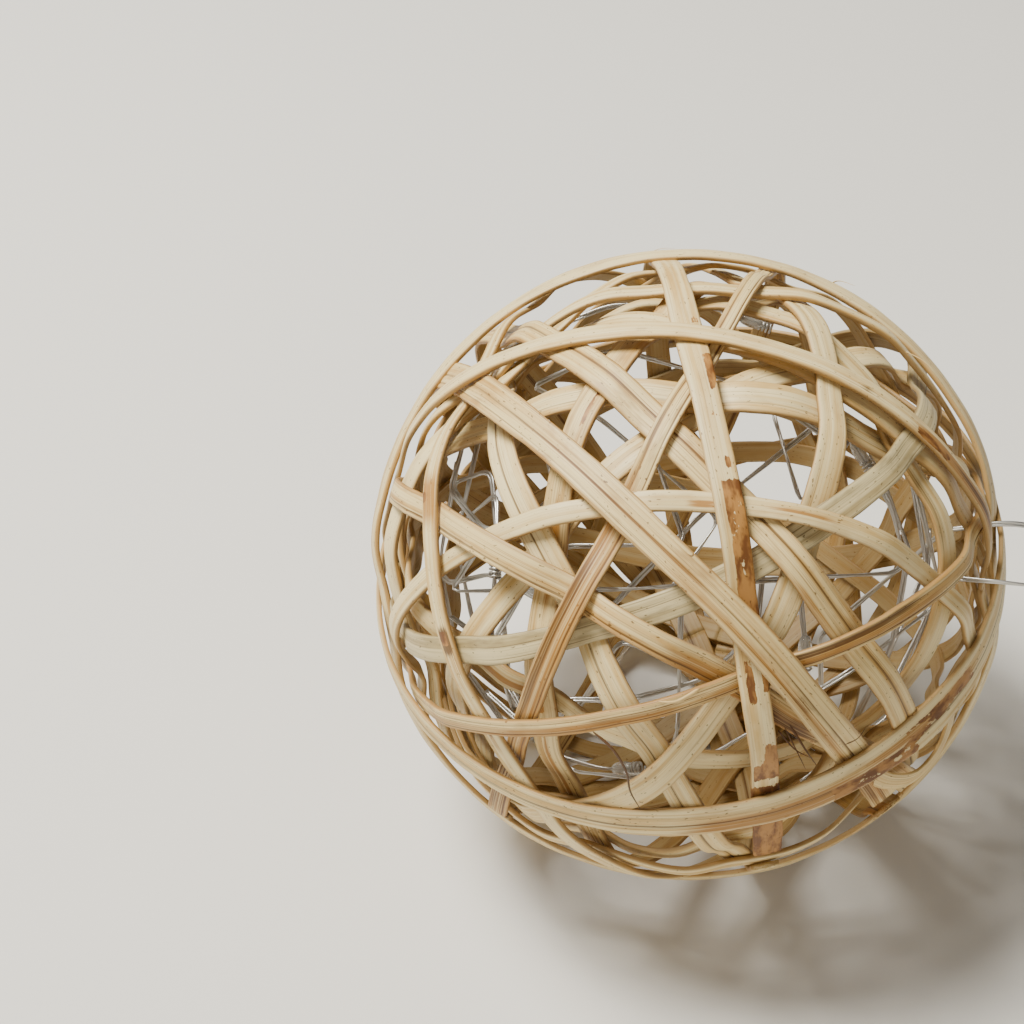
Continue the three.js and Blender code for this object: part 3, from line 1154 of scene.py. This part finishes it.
@dataclass
class LightString:
    """The string of tiny lights tangled inside the ball, and its loop that stands out."""

    pair: TwistedPair = field(default_factory=TwistedPair)
    bend_radius: float = 2.5 * MM
    bead_length: float = 4.8 * MM
    bead_radius: float = 1.15 * MM
    beads_at: tuple[tuple[float, float, float], ...] = (
        (25.8, -12.5, 89.2), (10, 20, 91), (-33, -16, 70), (-28, -30, 45), (16, -38, 70),
        (-11, -41, 45),
    )
    winding_turns: float = 3.5

    BEAD_RINGS, BEAD_SIDES, BLUNTNESS = 15, 16, 2.6
    # The winding's length and how much of it lies on the drop, in millimetres.
    COIL_LENGTH, COIL_OVERLAP = 2.2, 0.9
    COIL_POINTS, COIL_SIDES, COIL_SHARE = 60, 6, 0.8

    def _bent(self, route: np.ndarray) -> np.ndarray:
        """Rounds a wire's bends and leaves the stretches between them straight.

        Args:
            route: bend points in metres.

        Returns:
            The evenly sampled line.
        """
        rows = [route[0]]
        for before, corner, after in zip(route, route[1:], route[2:]):
            back, ahead = before - corner, after - corner
            reach = min(self.bend_radius, 0.4 * np.linalg.norm(back), 0.4 * np.linalg.norm(ahead))
            entry, leave = corner + unit(back) * reach, corner + unit(ahead) * reach
            for t in np.linspace(0, 1, 7):
                rows.append((1 - t) ** 2 * entry + 2 * t * (1 - t) * corner + t**2 * leave)
        rows.append(route[-1])
        rows = np.array(rows)
        distance = distances(rows)
        places = np.arange(0, distance[-1], self.pair.sample)
        return np.column_stack([np.interp(places, distance, rows[:, i]) for i in range(3)])

    def build_string(self) -> Object:
        """Builds the wires inside the ball.

        Returns:
            The string.
        """
        vertices, faces = self.pair.mesh(self._bent(STRING_ROUTE))
        piece = make_piece("light_string_wires", vertices, faces)
        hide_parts("light_string")
        return piece

    def build_more_turns(self) -> Object:
        """Builds the string's further turns inside the ball.

        Returns:
            The turns, as one piece.
        """
        turns = join([self.pair.mesh(self._bent(route)) for route in MORE_TURNS])
        return make_piece("light_string_turns", *turns)

    def build_loop(self) -> Object:
        """Builds the loop of the string that stands out of the ball.

        Returns:
            The loop.
        """
        line = smooth_line(LOOP_ROUTE, False, self.pair.sample)
        vertices, faces = self.pair.mesh(line)
        piece = make_piece("light_string_loop_wires", vertices, faces)
        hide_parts("light_string_loop")
        return piece

    def build_beads(self) -> list[Object]:
        """Builds the resin drops on the string.

        Returns:
            The drops.
        """
        lines = [self._bent(route) for route in (STRING_ROUTE, *MORE_TURNS)]
        inner = np.vstack([line[3:-3] for line in lines])
        ahead = np.vstack([line[6:] - line[:-6] for line in lines])
        pieces = []
        for number, place in enumerate(self.beads_at, start=1):
            nearest = int(np.argmin(np.linalg.norm(inner - np.array(place) * MM, axis=1)))
            tangent = unit(ahead[nearest])
            share = np.linspace(-1, 1, self.BEAD_RINGS)
            middle = inner[nearest] + np.outer(share * self.bead_length / 2, tangent)
            radius = self.bead_radius * np.sqrt(np.clip(1 - np.abs(share) ** self.BLUNTNESS, 0.02, 1))
            drop = tube(middle, radius, self.BEAD_SIDES)
            pieces.append(make_piece(f"resin_bead_{number}", *drop))
        return pieces

    def build_windings(self, beads: list[Object]) -> Object:
        """Builds the wire wound round the end of each drop.

        Args:
            beads: the drops.

        Returns:
            The windings, as one piece.
        """
        coils = []
        for bead in beads:
            skin = np.array([v.co[:] for v in bead.data.vertices])
            sides = self.BEAD_SIDES
            start, end = skin[:sides].mean(axis=0), skin[-sides:].mean(axis=0)
            axis = unit(end - start)
            level = unit(np.cross(axis, [0.3, 0.2, 1.0]))
            other = np.cross(axis, level)
            turn = np.linspace(0, 2 * np.pi * self.winding_turns, self.COIL_POINTS)[:, None]
            ring = np.cos(turn) * level + np.sin(turn) * other
            ring = ring * self.bead_radius * self.COIL_SHARE
            reach = (turn / turn[-1] * self.COIL_LENGTH - self.COIL_OVERLAP) * MM
            wire = self.pair.wire_radius * self.COIL_SHARE
            coils.append(tube(end + reach * axis + ring, wire, self.COIL_SIDES))
        return make_piece("light_string_windings", *join(coils))

    def dress(self, wires: list[Object], beads: list[Object]) -> None:
        """Gives the wires and the drops their finishes.

        Args:
            wires: pieces of wire.
            beads: resin drops.
        """
        silver, resin = SilveredWire().material(), ResinBead().material()
        for piece in wires:
            piece.data.materials.append(silver)
        for piece in beads:
            piece.data.materials.append(resin)


# ---- studio


@dataclass
class Studio:
    """The floor, the soft lights and the camera."""

    pitch: float = math.radians(42)
    lens: float = 73.83
    right: float = 30.5 * MM
    rise: float = -9.35 * MM
    distance: float = 370.6 * MM
    floor_size: float = 6.0

    def build_camera(self) -> Object:
        """Sets the camera up, looking down on the ball from the front.

        Returns:
            The camera.
        """
        forward = np.array([0.0, math.cos(self.pitch), -math.sin(self.pitch)])
        up = np.array([0.0, math.sin(self.pitch), math.cos(self.pitch)])
        sideways = np.array([1.0, 0.0, 0.0])
        data = bpy.data.cameras.new("camera")
        data.lens = self.lens
        data.sensor_width = 36
        data.clip_start = 0.01
        camera = bpy.data.objects.new("camera", data)
        place = BALL_CENTRE - self.right * sideways - self.rise * up - self.distance * forward
        turn = Matrix.Rotation(math.pi / 2 - self.pitch, 4, "X")
        camera.matrix_world = Matrix.Translation(place) @ turn
        bpy.context.scene.collection.objects.link(camera)
        bpy.context.scene.camera = camera
        return camera

    def build_floor(self) -> Object:
        """Lays the paper floor.

        Returns:
            The floor.
        """
        half = self.floor_size / 2
        mesh = bpy.data.meshes.new("floor")
        corners = [(-half, -half, 0), (half, -half, 0), (half, half, 0), (-half, half, 0)]
        mesh.from_pydata(corners, [], [(0, 1, 2, 3)])
        floor = bpy.data.objects.new("floor", mesh)
        bpy.context.scene.collection.objects.link(floor)
        mesh.materials.append(MatteFloor().material())
        return floor

    def _lamp(
        self, name: str, place: tuple[float, float, float], size: float, power: float, tint: str
    ) -> None:
        """Hangs one square soft light aimed at the ball.

        Args:
            name: name of the light.
            place: where it hangs, in metres.
            size: side of the square in metres.
            power: power in watts.
            tint: colour of the light.
        """
        data = bpy.data.lights.new(name, "AREA")
        data.shape = "SQUARE"
        data.size = size
        data.energy = power
        data.color = linear(tint)[:3]
        lamp = bpy.data.objects.new(name, data)
        back = unit(np.array(place) - BALL_CENTRE)
        level = unit(np.cross([0.0, 0.0, 1.0], back))
        rise = np.cross(back, level)
        lamp.matrix_world = Matrix(
            [[level[i], rise[i], back[i], place[i]] for i in range(3)] + [[0, 0, 0, 1]]
        )
        bpy.context.scene.collection.objects.link(lamp)

    def build_lights(self) -> None:
        """Hangs the studio's soft lights and sets the room's own pale light."""
        self._lamp("window_light", (-0.42, 0.12, 0.92), 0.4, 21.0, "#FFFBF0")
        self._lamp("front_fill", (-0.1, -0.95, 0.6), 0.9, 2.6, "#FFF2DE")
        world = bpy.data.worlds.new("room_light")
        bpy.context.scene.world = world
        world.use_nodes = True
        background = world.node_tree.nodes["Background"]
        background.inputs["Color"].default_value = linear("#F4F5F7")
        background.inputs["Strength"].default_value = 0.13


# ---- the whole scene


def main() -> None:
    """Builds the ball's visual model and the studio, and logs each piece."""
    logging.basicConfig(level=logging.INFO, format="%(name)s: %(message)s")
    studio = Studio()
    studio.build_camera()
    string = LightString()
    loop = string.build_loop()
    wires = [loop, string.build_string(), string.build_more_turns()]
    beads = string.build_beads()
    wires.append(string.build_windings(beads))
    string.dress(wires, beads)
    strips = StripBall().build()
    studio.build_floor()
    studio.build_lights()
    for piece in [*wires, *beads, *strips]:
        LOG.info("%s: %d faces", piece.name, len(piece.data.polygons))


if __name__ == "__main__":
    main()
